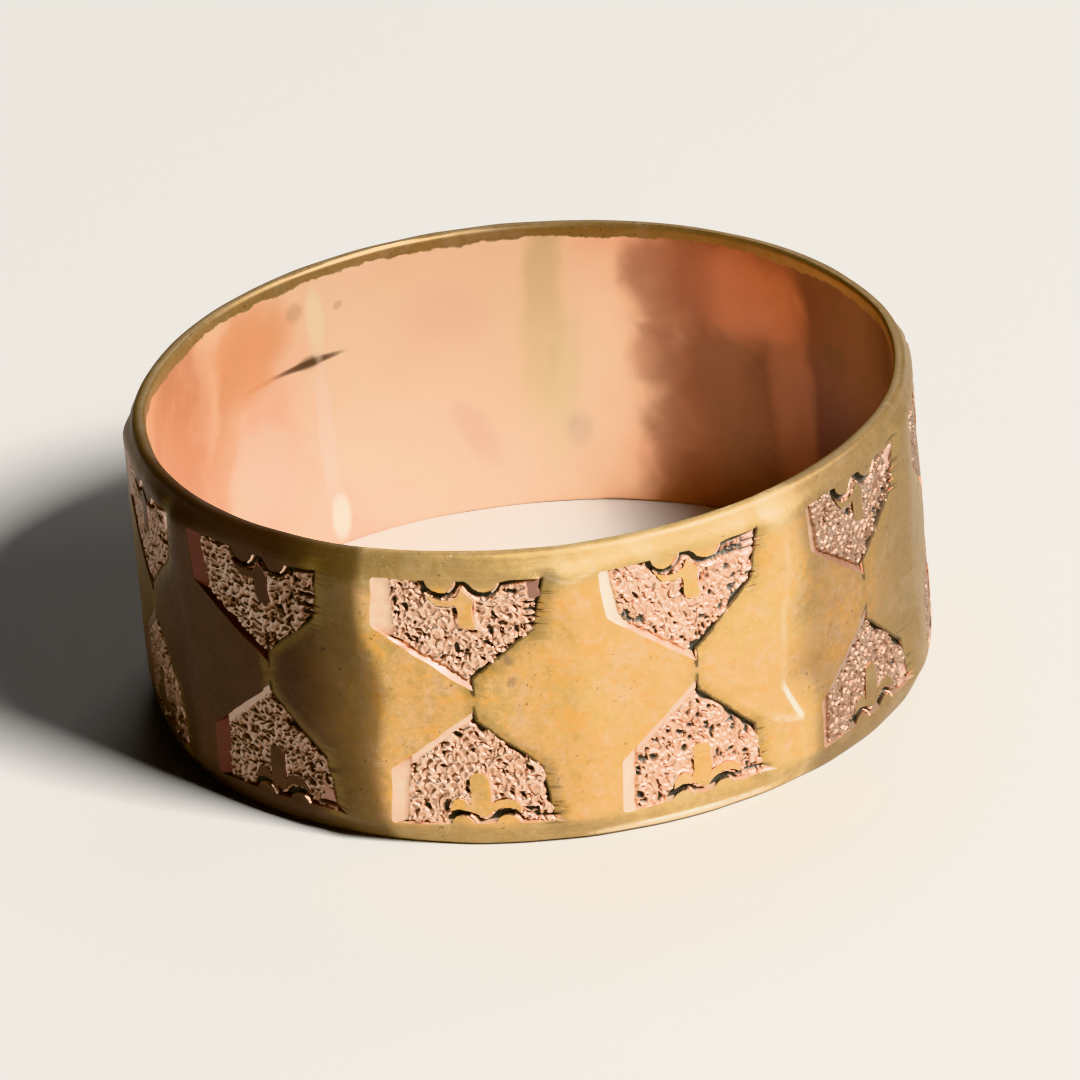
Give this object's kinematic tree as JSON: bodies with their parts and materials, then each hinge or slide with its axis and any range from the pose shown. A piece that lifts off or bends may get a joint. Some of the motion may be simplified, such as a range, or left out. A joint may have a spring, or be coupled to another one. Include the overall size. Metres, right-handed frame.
{
  "type": "band ring",
  "caption": "Wide faceted finger ring: a thin round band with soft rims, bowed facets and pairs of cut wing-shaped panels that hold raised lobes and anchors.",
  "frame": {"origin": "centre of the lower rim, on the surface that the ring lies on", "axes": "+Z along the axis of the finger hole, upwards; -Y out through the middle of one facet"},
  "size_m": [0.0184, 0.0184, 0.0074],
  "materials": {
    "yellow_gold": "worn satin yellow gold with a brownish tarnish, fine scratches and specks",
    "rose_gold": "rose gold where the yellow surface is cut through and inside the band, with blackened pits"
  },
  "bodies": {
    "root": {"band": "yellow_gold"}
  },
  "joints": []
}
